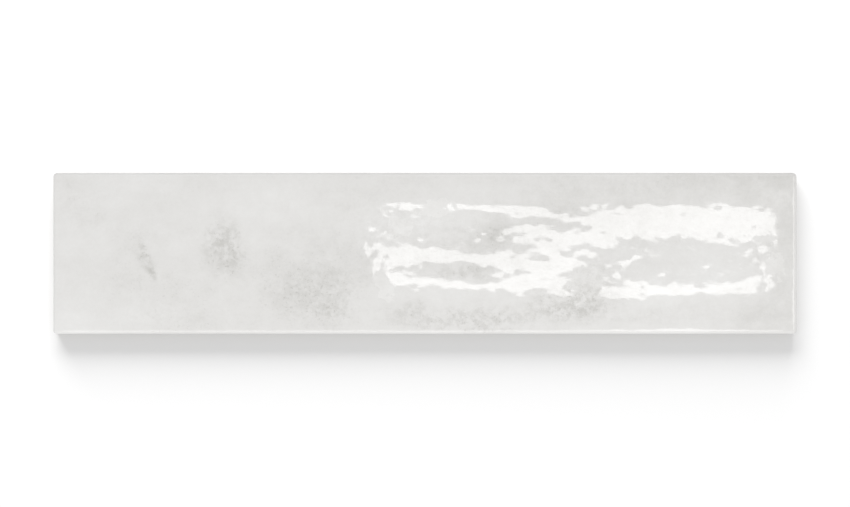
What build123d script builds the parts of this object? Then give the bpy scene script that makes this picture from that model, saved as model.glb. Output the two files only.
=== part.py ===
from build123d import *
import os
from math import cos, exp, floor, radians, sin

# A glazed ceramic wall tile, long and narrow, dry pressed as one piece and fired with its glaze.
# It lies on its back: X runs along its length, Y across it, and Z out of the glazed face.
# The origin is at the middle of the plane that the back's ribs stand on. Sizes are in millimetres.

# Outline and height
tile_length = 300.0
tile_width = 65.0
body_height = 8.2  # from the ribs' plane to the even level of the face
corner_radius = 1.5  # of the four upright corners, seen from above

# Edges
arris_radius = 1.2  # where the glaze rolls over the rim of the face
back_bevel = 0.8  # pressed along the rim of the back
cushion_fall = 0.3  # how far the face falls towards its rim
cushion_reach = 3.0  # how soon it falls: a third of the fall is left this far in

# Back: a grid of shallow pockets that key into the adhesive, with ribs between them
pocket_side = 9.5
pocket_depth = 0.7
pocket_corner = 1.5  # cut off each corner
pocket_draft = 40.0  # degrees that a pocket's walls lean, so that the punch lets go
rib_width = 2.5
least_border = 3.0  # plain clay left round the grid

# Swells of the face, which make its reflections wander as on a hand-made tile. Each is a long
# low mound, or a hollow where its height is negative, and fades as a bell curve.
# Place along and across are shares of the half length and half width.
# along, across, half length, half width, turn in degrees, height
swells = [
    (0.08, 0.65, 46.0, 8.5, -2.0, 0.31),
    (0.06, -0.04, 36.0, 9.0, -3.0, -0.18),
    (0.11, -0.43, 16.0, 6.0, -6.0, 0.08),
    (0.31, 0.08, 12.0, 4.0, -33.0, 0.045),
    (0.40, 0.41, 14.0, 4.0, -3.0, 0.055),
    (0.41, -0.52, 10.0, 5.0, 0.0, 0.05),
    (0.44, -0.48, 14.0, 11.0, 0.0, 0.09),
    (0.69, 0.71, 55.0, 10.0, -2.0, 0.22),
    (0.64, -0.22, 42.0, 12.0, 0.0, 0.09),
    (0.68, -0.65, 47.0, 14.0, 4.0, 0.46),
    (-0.43, 0.62, 45.0, 11.0, 3.0, 0.20),
    (-0.73, -0.25, 40.0, 12.0, -5.0, -0.22),
    (-0.41, -0.49, 35.0, 9.0, 5.0, 0.16),
]

# The face is measured at points this far apart, on a sheet that overhangs the tile
face_step = 2.0
face_overhang = 4.0


def swell_height(x, y, swell):
    """One swell at a point: its height times a bell curve along it and across it."""
    along, across, half_length, half_width, turn, height = swell
    from_x = x - along * tile_length / 2
    from_y = y - across * tile_width / 2
    run = from_x * cos(radians(turn)) + from_y * sin(radians(turn))
    side = from_y * cos(radians(turn)) - from_x * sin(radians(turn))
    return height * exp(-((run / half_length) ** 2) - (side / half_width) ** 2)


def face_height(x, y):
    """Level of the glazed face: the even level, the swells, and the fall towards the rim."""
    waves = sum(swell_height(x, y, swell) for swell in swells)
    from_ends = tile_length / 2 - abs(x)
    from_sides = tile_width / 2 - abs(y)
    fall = exp(-from_ends / cushion_reach) + exp(-from_sides / cushion_reach)
    return body_height + waves - cushion_fall * fall


def spread(length, step):
    """Evenly spaced places along a length, centred on zero, about one step apart."""
    count = round(length / step)
    return [length * (i / count - 0.5) for i in range(count + 1)]


# The waved sheet that the face lies on
face_sheet = Face.make_surface_from_array_of_points(
    [
        [(x, y, face_height(x, y)) for y in spread(tile_width + 2 * face_overhang, face_step)]
        for x in spread(tile_length + 2 * face_overhang, face_step)
    ],
    tol=0.001,
    min_deg=3,
    max_deg=3,
)

# Pockets along and across, as many as fit inside the border
pocket_pitch = pocket_side + rib_width
pockets_along = floor((tile_length - 2 * least_border + rib_width) / pocket_pitch)
pockets_across = floor((tile_width - 2 * least_border + rib_width) / pocket_pitch)

with BuildPart() as tile:
    # Pressed block, taller than the face's highest swell
    with BuildSketch():
        RectangleRounded(tile_length, tile_width, corner_radius)
    extrude(amount=2 * body_height)

    # Glazed face, with its rim rolled over
    split(bisect_by=face_sheet, keep=Keep.BOTTOM)
    glazed_face = tile.faces().filter_by(GeomType.BSPLINE).sort_by(SortBy.AREA)[-1]
    fillet(glazed_face.edges(), arris_radius)

    # Bevelled rim of the back
    back = tile.faces().sort_by(Axis.Z)[0]
    chamfer(back.edges(), back_bevel)

    # Pockets of the back, narrower at their floors
    with BuildSketch() as pockets:
        with GridLocations(pocket_pitch, pocket_pitch, pockets_along, pockets_across):
            Rectangle(pocket_side, pocket_side)
        chamfer(pockets.vertices(), pocket_corner)
    extrude(amount=pocket_depth, taper=pocket_draft, mode=Mode.SUBTRACT)

tile.part.label = "tile"

os.makedirs("parts", exist_ok=True)
export_step(tile.part, "parts/tile.step")
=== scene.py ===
from math import ceil, radians

import bpy
import numpy as np
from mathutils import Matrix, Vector


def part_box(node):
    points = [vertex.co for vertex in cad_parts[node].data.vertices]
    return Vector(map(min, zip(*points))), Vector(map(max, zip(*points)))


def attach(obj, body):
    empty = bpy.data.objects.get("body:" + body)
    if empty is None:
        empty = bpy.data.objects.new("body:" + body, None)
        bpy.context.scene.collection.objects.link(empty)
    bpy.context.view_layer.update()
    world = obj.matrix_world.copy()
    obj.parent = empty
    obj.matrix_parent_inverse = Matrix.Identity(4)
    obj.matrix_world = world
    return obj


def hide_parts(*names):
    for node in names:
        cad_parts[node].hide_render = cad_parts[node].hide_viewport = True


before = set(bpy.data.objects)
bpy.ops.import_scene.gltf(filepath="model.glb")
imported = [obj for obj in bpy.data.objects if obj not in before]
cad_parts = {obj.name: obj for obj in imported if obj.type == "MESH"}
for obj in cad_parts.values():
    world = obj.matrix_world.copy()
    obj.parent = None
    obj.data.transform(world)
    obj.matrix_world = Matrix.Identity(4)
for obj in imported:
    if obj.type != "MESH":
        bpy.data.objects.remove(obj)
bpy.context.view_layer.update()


# The tile. One long narrow slab of white clay, dry pressed in one go, with a gently waved face, a
# rolled rim, a bevelled foot, and a back pressed full of shallow pockets for the adhesive. Its
# off-white glaze is fused on in the firing, so that clay and glaze are one piece with one skin.
MM = 0.001

low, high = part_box("tile")
tile_length = high.x - low.x
tile_width = high.y - low.y
body_height = 8.2 * MM  # to the even level of the face
corner_radius = 1.5 * MM  # of the upright corners
arris_radius = 1.2 * MM  # of the rolled rim
back_bevel = 0.8 * MM
cushion_fall = 0.3 * MM  # how far the face falls towards its rim
cushion_reach = 3.0 * MM  # how soon it falls

# Pockets of the back: squares with cut corners, and walls that lean by the draft
pocket_side = 9.5 * MM
pocket_depth = 0.7 * MM
pocket_corner = 1.5 * MM
pocket_draft = radians(40.0)
pocket_run = pocket_depth * np.tan(pocket_draft)
rib_width = 2.5 * MM
pocket_pitch = pocket_side + rib_width
least_border = 3.0 * MM

# The skin: the longest step of its net, the steps round each corner and over the rim, and the
# least angle that shows as an edge
net_step = 0.92 * MM
turn_steps = 8
edge_angle = radians(30)

# Swells of the face: place along and across as shares of the half length and half width, half
# length and half width in millimetres, turn in degrees, and height in millimetres.
swells = [
    (0.08, 0.65, 46.0, 8.5, -2.0, 0.31),
    (0.06, -0.04, 36.0, 9.0, -3.0, -0.18),
    (0.11, -0.43, 16.0, 6.0, -6.0, 0.08),
    (0.31, 0.08, 12.0, 4.0, -33.0, 0.045),
    (0.40, 0.41, 14.0, 4.0, -3.0, 0.055),
    (0.41, -0.52, 10.0, 5.0, 0.0, 0.05),
    (0.44, -0.48, 14.0, 11.0, 0.0, 0.09),
    (0.69, 0.71, 55.0, 10.0, -2.0, 0.22),
    (0.64, -0.22, 42.0, 12.0, 0.0, 0.09),
    (0.68, -0.65, 47.0, 14.0, 4.0, 0.46),
    (-0.43, 0.62, 45.0, 11.0, 3.0, 0.20),
    (-0.73, -0.25, 40.0, 12.0, -5.0, -0.22),
    (-0.41, -0.49, 35.0, 9.0, 5.0, 0.16),
]


def wave_height(x, y):
    """The swells added up: each is its height times a bell curve along it and across it."""
    waves = np.zeros(np.shape(x))
    for along, across, half_length, half_width, turn, height in swells:
        from_x = x - along * tile_length / 2
        from_y = y - across * tile_width / 2
        cosine, sine = np.cos(radians(turn)), np.sin(radians(turn))
        run = (from_x * cosine + from_y * sine) / (half_length * MM)
        side = (from_y * cosine - from_x * sine) / (half_width * MM)
        waves += height * MM * np.exp(-(run**2) - side**2)
    return waves


def face_height(x, y):
    """Level of the face: the even level plus the waves, less a fall that dies away exponentially
    from the rim inwards."""
    from_ends = tile_length / 2 - np.abs(x)
    from_sides = tile_width / 2 - np.abs(y)
    fall = np.exp(-from_ends / cushion_reach) + np.exp(-from_sides / cushion_reach)
    return body_height + wave_height(x, y) - cushion_fall * fall


def pocket_centres(length):
    """Centres of the pockets along a length: as many as fit inside the border, about its middle."""
    count = int((length - 2 * least_border + pocket_pitch - pocket_side) / pocket_pitch)
    return (np.arange(count) - (count - 1) / 2) * pocket_pitch


def net_lines(length):
    """Lines of the net over a length. They lie on each pocket's rim, floor edge and cut corner, and
    every gap between those is divided evenly into steps no longer than the net's step."""
    half = pocket_side / 2
    marks = np.array([half, half - pocket_run, half - pocket_corner])
    ends = np.array([-1, 1]) * (length / 2 - corner_radius)
    lines = np.add.outer(pocket_centres(length), np.append(marks, -marks)).ravel()
    lines = np.sort(np.append(lines, ends))
    gaps = zip(lines[:-1], lines[1:])
    parts = [np.linspace(a, b, ceil((b - a) / net_step), endpoint=False) for a, b in gaps]
    return np.append(np.concatenate(parts), lines[-1])


def back_height(x, y):
    """Level of the back. A point's distance inside the nearest pocket's outline, a square with cut
    corners, is shared out over the run of the leaning wall, and past that it is on the floor."""
    from_x = np.abs(np.subtract.outer(x[:, 0], pocket_centres(tile_length))).min(axis=1)[:, None]
    from_y = np.abs(np.subtract.outer(y[0], pocket_centres(tile_width))).min(axis=1)[None]
    half = pocket_side / 2
    inside_sides = half - np.maximum(from_x, from_y)
    inside_corner = (2 * half - pocket_corner - from_x - from_y) / np.sqrt(2)
    inside = np.minimum(inside_sides, inside_corner)
    return pocket_depth * np.clip(inside / pocket_run, 0, 1)


def around(net):
    """A net's outer vertices, anticlockwise from its first corner. Each corner is repeated for the
    stations of the fan that turns round it."""
    sides = [net[:, 0], net[-1], net[::-1, -1], net[0, ::-1]]
    return np.concatenate([np.append(side, np.repeat(side[-1:], turn_steps - 1)) for side in sides])


def facings(shape):
    """The way that each station of the outline faces, as an angle: square to its side, and turning
    evenly through a right angle at each corner."""
    turn = np.arange(1, turn_steps) / turn_steps
    quarters = [np.append(np.full(shape[side % 2], side - 1), side - 1 + turn) for side in range(4)]
    return np.concatenate(quarters) * np.pi / 2


def squares(net):
    """The quads of a net, anticlockwise: each vertex, the next one along, the one across from that,
    and the next one across."""
    corners = [net[:-1, :-1], net[1:, :-1], net[1:, 1:], net[:-1, 1:]]
    return np.stack([corner.ravel() for corner in corners], axis=1)


def strip(inner, outer):
    """The quads between two rings: each vertex of the inner ring, the outer one beside it, and the
    next two, back to the inner ring. Where a ring stands still, the quad is a triangle."""
    next_inner, next_outer = np.roll(inner, -1), np.roll(outer, -1)
    quads = np.stack([inner, outer, next_outer, next_inner], axis=1)
    inner_still, outer_still = inner == next_inner, outer == next_outer
    whole = quads[~inner_still & ~outer_still]
    return whole.tolist() + quads[inner_still, :3].tolist() + quads[outer_still][:, [0, 1, 3]].tolist()


net_x, net_y = np.meshgrid(net_lines(tile_length), net_lines(tile_width), indexing="ij")
face_net = np.arange(net_x.size).reshape(net_x.shape)
back_net = face_net + net_x.size
face_points = np.stack([net_x, net_y, face_height(net_x, net_y)], axis=-1).reshape(-1, 3)
back_points = np.stack([net_x, net_y, back_height(net_x, net_y)], axis=-1).reshape(-1, 3)

# Rings carry the face's outline over the rolled rim, down the side and round the bevel to the back
facing = facings(net_x.shape)
station_x, station_y = face_points[around(face_net), :2].T


def set_out(outset):
    """The outline, each station moved out by a distance in the way that it faces."""
    return station_x + outset * np.cos(facing), station_y + outset * np.sin(facing)


roll = np.linspace(0, np.pi / 2, turn_steps + 1)
rim_outsets = corner_radius - arris_radius * (1 - np.sin(roll))
rim_drops = arris_radius * (1 - np.cos(roll))
ring_points = []
for outset, drop in zip(rim_outsets, rim_drops):
    x, y = set_out(outset)
    ring_points.append(np.stack([x, y, face_height(x, y) - drop], axis=1))
for outset, level in [(corner_radius, back_bevel), (corner_radius - back_bevel, 0.0)]:
    x, y = set_out(outset)
    ring_points.append(np.stack([x, y, np.full_like(x, level)], axis=1))

ring_numbers = 2 * net_x.size + np.arange(len(ring_points) * len(facing))
rings = [around(face_net), *ring_numbers.reshape(len(ring_points), -1), around(back_net)]
points = np.concatenate([face_points, back_points, *ring_points])
polygons = squares(face_net).tolist() + squares(back_net)[:, ::-1].tolist()
for inner, outer in zip(rings[:-1], rings[1:]):
    polygons += strip(inner, outer)

skin = bpy.data.meshes.new("glazed_tile")
skin.from_pydata(points.tolist(), [], polygons)
skin.shade_smooth()
skin.set_sharp_from_angle(angle=edge_angle)

# How deep the waves dip under each point, for the glaze that gathers there and for painted shade
dip = skin.attributes.new("dip", "FLOAT", "POINT")
dip.data.foreach_set("value", -wave_height(points[:, 0], points[:, 1]) / MM)

tile = bpy.data.objects.new("glazed_tile", skin)
bpy.context.scene.collection.objects.link(tile)

# The glossy glaze is clouded and freckled where it gathered in the firing. It covers the face, thins
# to white over the rim, where a painted highlight also lightens it, and runs down the sides to a
# ragged line. Below that line and on the back the cream clay is bare, dull and slightly grainy.
glaze = bpy.data.materials.new("white glaze on clay")
glaze.use_nodes = True
skin.materials.append(glaze)
shader = glaze.node_tree.nodes["Principled BSDF"]
tree = glaze.node_tree  # the nodes of the material at hand, to which the next functions add


def add(kind, sockets=None, **settings):
    """A new shader node with its settings. A socket is given a value, or a link from a socket."""
    node = tree.nodes.new("ShaderNode" + kind)
    for name, value in settings.items():
        setattr(node, name, value)
    for name, value in (sockets or {}).items():
        if isinstance(value, bpy.types.NodeSocket):
            tree.links.new(value, node.inputs[name])
        else:
            node.inputs[name].default_value = value
    return node


def reckon(operation, a, b=0.0, c=0.0):
    """One step of arithmetic on sockets and numbers, such as a - b, or a times b plus c."""
    node = add("Math", operation=operation)
    for socket, value in zip(node.inputs, (a, b, c)):
        if isinstance(value, bpy.types.NodeSocket):
            tree.links.new(value, socket)
        else:
            socket.default_value = value
    return node.outputs["Value"]


place = add("TexCoord").outputs["Object"]
millimetres = add("Mapping", {"Vector": place, "Scale": (1 / MM,) * 3}).outputs["Vector"]
place_x, place_y, place_z = add("SeparateXYZ", {"Vector": millimetres}).outputs
face_half_length = tile_length / 2 / MM
face_half_width = tile_width / 2 / MM


def noise(size, detail, roughness, stretch=(1, 1, 1)):
    """Noise from 0 to 1 about a half, with lumps of a size in millimetres, stretched each way."""
    scaled = add("Mapping", {"Vector": millimetres, "Scale": [1 / s for s in stretch]})
    sockets = {"Vector": scaled.outputs["Vector"], "Scale": 1 / size, "Detail": detail,
               "Roughness": roughness}
    return add("TexNoise", sockets).outputs["Fac"]


def waver(size, detail, roughness, stretch=(1, 1, 1)):
    """Noise about zero: the noise above, less a half."""
    return reckon("SUBTRACT", noise(size, detail, roughness, stretch), 0.5)


def ramp(value, start, end, low=0.0, high=1.0):
    """From low to high as a value goes from start to end, eased at both and held past them."""
    sockets = {"Value": value, "From Min": start, "From Max": end, "To Min": low, "To Max": high}
    return add("MapRange", sockets, interpolation_type="SMOOTHSTEP").outputs["Result"]


# Clouds, mottling, streaks and grain of the glaze's tone
clouds = waver(size=46, detail=4, roughness=0.55, stretch=(1.6, 1, 1))
mottling = waver(size=7, detail=5, roughness=0.68)
streaks = waver(size=3, detail=3, roughness=0.5, stretch=(12, 1, 1))
grain = waver(size=1.3, detail=3, roughness=0.7)

# Smudges where the glaze took up colour, and one of painted shade: place along and across as
# shares of the half length and half width, half length and half width in millimetres, turn in
# degrees, and depth of tone. One with a negative depth is cleaner than the glaze round it.
smudges_and_shade = [
    (-0.755, -0.04, 14.0, 4.0, -66.0, 0.36),
    (-0.735, -0.27, 4.5, 2.6, -66.0, 0.40),
    (-0.89, 0.42, 9.0, 6.0, 20.0, 0.14),
    (-0.94, 0.66, 16.0, 14.0, 0.0, 0.14),
    (-0.72, -0.78, 24.0, 9.0, 0.0, -0.18),
    (-0.54, 0.10, 13.0, 19.0, 10.0, 0.46),
    (-0.29, -0.50, 32.0, 20.0, -8.0, 0.25),
    (-0.25, -0.70, 10.0, 8.0, 0.0, 0.16),
    (-0.02, 0.36, 52.0, 14.0, 0.0, -0.24),
    (-0.02, -0.80, 24.0, 9.0, -6.0, 0.30),
    (0.15, -0.84, 28.0, 10.0, 0.0, 0.42),
    # This one, inside the ring of highlights, is painted shade for a darker reflection, not a stain.
    (0.11, -0.25, 22.0, 5.0, 0.0, 0.30),
    (0.19, 0.20, 12.0, 9.0, 0.0, 0.30),
    (0.38, -0.64, 28.0, 12.0, 8.0, 0.46),
    (0.46, -0.36, 20.0, 13.0, 0.0, 0.20),
    (0.52, 0.84, 30.0, 7.0, 0.0, 0.10),
    (0.62, -0.75, 44.0, 9.0, 0.0, 0.18),
    (0.95, 0.72, 16.0, 14.0, 0.0, -0.14),
]
blot_least = 0.45  # share of a smudge's depth between its blots
blot_rise = 1.1  # what the blots add to that share

# The patches' outlines wander: every point is moved by a noise of three values, each about zero
warp_size = 9.0
warp_reach = 8.0
warp = add("TexNoise", {"Vector": millimetres, "Scale": 1 / warp_size, "Detail": 3.0})
warp = add("VectorMath", {0: warp.outputs["Color"], 1: (0.5,) * 3}, operation="SUBTRACT")
warp = add("VectorMath", {0: warp.outputs["Vector"], "Scale": warp_reach}, operation="SCALE")
warp = add("VectorMath", {0: millimetres, 1: warp.outputs["Vector"]}, operation="ADD")
wandering = warp.outputs["Vector"]
patch_rise = 100.0  # half height of a patch, so great that the level of the face makes no difference


def patch(along, across, half_length, half_width, turn):
    """A patch of the face: 1 at its middle, and falling evenly to 0 at the rim of its ellipse."""
    local = add("Mapping", {
        "Vector": wandering, "Location": (along * face_half_length, across * face_half_width, 0),
        "Rotation": (0, 0, radians(turn)), "Scale": (half_length, half_width, patch_rise),
    }, vector_type="TEXTURE")
    sockets = {"Vector": local.outputs["Vector"]}
    return add("TexGradient", sockets, gradient_type="SPHERICAL").outputs["Fac"]


smudging_and_shade = 0.0
for *shape, depth in smudges_and_shade:
    smudging_and_shade = reckon("MULTIPLY_ADD", ramp(patch(*shape), start=0, end=1), depth, smudging_and_shade)
blots = ramp(noise(size=2.8, detail=3, roughness=0.7), start=0.36, end=0.64)
smudging_and_shade = reckon("MULTIPLY", smudging_and_shade, reckon("MULTIPLY_ADD", blots, blot_rise, blot_least))

# Freckles: fine dark specks, only on a bed of glaze that is smudged or clouded
bed_level = 0.05
cloud_share = -1.2
speck_bed = reckon("MULTIPLY_ADD", clouds, cloud_share, reckon("ADD", smudging_and_shade, bed_level))
specks = ramp(noise(size=1.1, detail=3, roughness=0.7), start=0.56, end=0.70)
freckles = reckon("MULTIPLY", specks, reckon("MAXIMUM", speck_bed, 0.0))

# Dull patches, in the smudges' measures but with no depth, where the gloss is broken raggedly
dull_patches = [
    (-0.07, 0.34, 8.0, 6.0, 0.0),
    (0.03, 0.56, 10.0, 5.0, 0.0),
    (0.43, -0.36, 12.0, 9.0, 30.0),
    (-0.11, -0.40, 9.0, 5.0, -40.0),
    (0.91, 0.20, 7.0, 3.0, 0.0),
    (0.94, -0.14, 6.0, 9.0, 0.0),
]
raggedness = 6.0
dulling = 0.0
for shape in dull_patches:
    dulling = reckon("ADD", patch(*shape), dulling)
rags = reckon("MULTIPLY_ADD", waver(size=4, detail=5, roughness=0.75), raggedness, 1.0)
dull = ramp(reckon("MULTIPLY", dulling, rags), start=0.28, end=0.36)

# The rim, where the glaze is thin and a painted highlight lightens it, and the dips of the waves,
# where the glaze is deep and a painted shade darkens it
from_ends = reckon("SUBTRACT", face_half_length, reckon("ABSOLUTE", place_x))
from_sides = reckon("SUBTRACT", face_half_width, reckon("ABSOLUTE", place_y))
from_rim = reckon("MINIMUM", from_ends, from_sides)
rim_wander = 1.5
rim_edge = reckon("MULTIPLY_ADD", mottling, rim_wander, from_rim)
thin_glaze_and_rim_sheen = ramp(rim_edge, start=0.2, end=1.5, low=1.0, high=0.0)
deep_glaze_and_shade = add("Attribute", attribute_name="dip").outputs["Fac"]

# The glaze's tone: an even tone, and a share of each of its parts. The shares of place_x and
# place_y are a painted shade, darker towards the right-hand end and towards the far side.
tone = 0.5
for part, share in [
    (clouds, 0.9), (mottling, 0.44), (streaks, 0.12), (grain, 0.26), (smudging_and_shade, -0.72),
    (freckles, -0.9), (thin_glaze_and_rim_sheen, 0.28), (deep_glaze_and_shade, -0.12), (place_x, -0.0008), (place_y, -0.0015),
]:
    tone = reckon("MULTIPLY_ADD", part, share, tone)
glaze_colours = add("ValToRGB", {"Fac": tone})
stops = glaze_colours.color_ramp.elements
stops[0].position, stops[0].color = 0.0, (0.540, 0.533, 0.510, 1)
stops[1].position, stops[1].color = 1.0, (0.810, 0.807, 0.795, 1)
middle = stops.new(0.5)
middle.color = (0.712, 0.704, 0.688, 1)

# Bare clay: cream, with a fine grain and pits
clay_grain = noise(size=0.8, detail=4, roughness=0.7)
clay_mottling = 0.6
clay_tone = reckon("MULTIPLY_ADD", mottling, clay_mottling, clay_grain)
clay_colours = add("ValToRGB", {"Fac": clay_tone})
stops = clay_colours.color_ramp.elements
stops[0].position, stops[0].color = 0.25, (0.60, 0.54, 0.44, 1)
stops[1].position, stops[1].color = 0.75, (0.76, 0.71, 0.62, 1)

# The ragged line down to which the glaze covers the sides, in millimetres above the table
glaze_line = 4.4
line_wander = 3.0
line_blur = 0.12
lumps = noise(size=5, detail=4, roughness=0.6)
line_at = reckon("MULTIPLY_ADD", lumps, -line_wander, glaze_line + line_wander / 2)
glazed = ramp(reckon("SUBTRACT", place_z, line_at), start=-line_blur, end=line_blur)


def where_glazed(on_glaze, on_clay):
    """The glaze's value where the tile is glazed, and the clay's where it is bare: the clay's, plus
    the glazed share of their difference."""
    return reckon("MULTIPLY_ADD", glazed, reckon("SUBTRACT", on_glaze, on_clay), on_clay)


first_colour, second_colour, mixed_colour = 6, 7, 2  # the mix node's sockets for colours
base = add("Mix", {
    "Factor": glazed, first_colour: clay_colours.outputs["Color"],
    second_colour: glaze_colours.outputs["Color"],
}, data_type="RGBA")
tree.links.new(base.outputs[mixed_colour], shader.inputs["Base Color"])

gloss_roughness = 0.025
pin_mark_roughness = 0.045
dull_roughness = 0.3
clay_roughness = 0.85
pin_marks = ramp(noise(size=1.5, detail=3, roughness=0.7), start=0.45, end=0.65)
glaze_roughness = reckon("MULTIPLY_ADD", pin_marks, pin_mark_roughness, gloss_roughness)
glaze_roughness = reckon("MULTIPLY_ADD", dull, dull_roughness, glaze_roughness)
tree.links.new(where_glazed(glaze_roughness, clay_roughness), shader.inputs["Roughness"])
shader.inputs["IOR"].default_value = 1.52

# Ripples in the glaze and grain in the clay, with their heights in millimetres
ripple_height = 0.062
fine_ripple_height = 0.018
grain_height = 0.12
ripple = noise(size=8, detail=1, roughness=0.5, stretch=(1.2, 1, 1))
ripple = reckon("MULTIPLY", ripple, ripple_height)
fine_ripple = noise(size=3.4, detail=0, roughness=0.5)
ripple = reckon("MULTIPLY_ADD", fine_ripple, fine_ripple_height, ripple)
relief = where_glazed(ripple, reckon("MULTIPLY", clay_grain, grain_height))
bump = add("Bump", {"Height": relief, "Distance": MM})
tree.links.new(bump.outputs["Normal"], shader.inputs["Normal"])

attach(tile, "root")
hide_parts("tile")


# The table top and the room. A plain white board on which the tile lies loose, and white walls all
# round. Both are seen as plain white, and the board keeps the tile's shadow.
table_half = 3.0
corners = [(-1, -1), (1, -1), (1, 1), (-1, 1)]
table_mesh = bpy.data.meshes.new("table_top")
table_mesh.from_pydata([(x * table_half, y * table_half, 0) for x, y in corners], [], [range(4)])
table = bpy.data.objects.new("table_top", table_mesh)
bpy.context.scene.collection.objects.link(table)


def seen():
    """1 for a ray from the camera, from a gloss or through glass, and 0 for one that only lights."""
    path = add("LightPath").outputs
    glanced = reckon("MAXIMUM", path["Is Camera Ray"], path["Is Glossy Ray"])
    return reckon("MAXIMUM", glanced, path["Is Transmission Ray"])


board_shade = 0.45
board_lift = 0.375  # a glow of its own, which lifts it to white where it is seen
white = bpy.data.materials.new("white table top")
white.use_nodes = True
tree = white.node_tree
board = tree.nodes["Principled BSDF"]
board.inputs["Base Color"].default_value = (board_shade, board_shade, board_shade, 1)
board.inputs["Roughness"].default_value = 0.9
board.inputs["Specular IOR Level"].default_value = 0.0
lift = add("Emission", {"Strength": board_lift})
lifted = add("AddShader", {0: board.outputs["BSDF"], 1: lift.outputs["Emission"]})
top = add("MixShader", {0: seen(), 1: board.outputs["BSDF"], 2: lifted.outputs["Shader"]})
tree.links.new(top.outputs["Shader"], tree.nodes["Material Output"].inputs["Surface"])
table_mesh.materials.append(white)

wall_light = 0.65  # that the walls throw
wall_white = 1.0  # that they show
room = bpy.data.worlds.new("room")
bpy.context.scene.world = room
room.use_nodes = True
tree = room.node_tree
ambient = tree.nodes["Background"]
ambient.inputs["Color"].default_value = (1, 1, 1, 1)
ambient.inputs["Strength"].default_value = wall_light
backdrop = add("Background", {"Color": (1, 1, 1, 1), "Strength": wall_white})
walls = add("MixShader", {
    0: seen(), 1: ambient.outputs["Background"], 2: backdrop.outputs["Background"],
})
tree.links.new(walls.outputs["Shader"], tree.nodes["World Output"].inputs["Surface"])


# The lamps. A long strip overhead, which the waves of the glaze break into wandering white bands,
# a large soft box far behind the tile for its shadow, and cards round it for its rolled rim to
# mirror. They hang free, and the camera doesn't see them.
watts_per_radiance = 4  # for each square metre of a lamp


def soft_box(name, width, depth, stand, aim, radiance):
    """A rectangular lamp at a place, turned to its aim. Its watts are its radiance times its area
    times the watts that a radiance of 1 takes."""
    lamp = bpy.data.lights.new(name, "AREA")
    lamp.shape = "RECTANGLE"
    lamp.size = width
    lamp.size_y = depth
    lamp.energy = radiance * watts_per_radiance * width * depth
    holder = bpy.data.objects.new(name, lamp)
    bpy.context.scene.collection.objects.link(holder)
    holder.location = stand
    way = Vector(aim) - Vector(stand)
    holder.rotation_euler = way.to_track_quat("-Z", "Y").to_euler()
    holder.visible_camera = False
    return holder


def shine_on(lamp, thing):
    """Lets a lamp shine on one thing only. Everything still shades it."""
    lit = bpy.data.collections.new("lit by " + lamp.name)
    lit.objects.link(thing)
    lamp.light_linking.receiver_collection = lit


strip_start, strip_end, strip_width, strip_height = -0.034, 0.300, 0.034, 1.0
strip_middle = (strip_start + strip_end) / 2
soft_box("strip", width=strip_end - strip_start, depth=strip_width, radiance=3.75,
         stand=(strip_middle, 0, strip_height), aim=(strip_middle, 0, 0))
shadow_box = soft_box("shadow box", width=2.5, depth=2.2, radiance=9.6,
                      stand=(-0.5, 2.6, 1.17), aim=(0, 0, 0))
shadow_box.visible_glossy = False
shine_on(shadow_box, table)

# Cards: name, width, depth, stand, aim and radiance. The first two overlap, so that the edge of
# what they show in the front rim fades in two steps.
cards = [
    ("wide front card", 0.72, 0.23, (0, -0.335, 1.0), (0, -0.335, 0), 2.8),
    ("narrow front card", 0.72, 0.18, (0, -0.36, 1.0), (0, -0.36, 0), 2.8),
    ("low front card", 1.2, 0.35, (0.1, -0.9, 0.8), (0, 0, 0), 0.8),
    ("low back card", 1.2, 0.35, (0.1, 0.9, 0.8), (0, 0, 0), 0.6),
    ("end card", 0.17, 0.5, (0.515, 0, 1.0), (0.515, 0, 0), 2.5),
]
for card in cards:
    shine_on(soft_box(*card), tile)


# The camera. It stands about a metre straight above the middle of the tile, and its long lens shows
# next to nothing of the sides.
camera_height = 0.96
focal_length = 100.0
lens = bpy.data.cameras.new("camera")
lens.lens = focal_length
camera = bpy.data.objects.new("camera", lens)
bpy.context.scene.collection.objects.link(camera)
camera.location = (0, 0, camera_height)
bpy.context.scene.camera = camera
bpy.context.scene.view_settings.view_transform = "Standard"
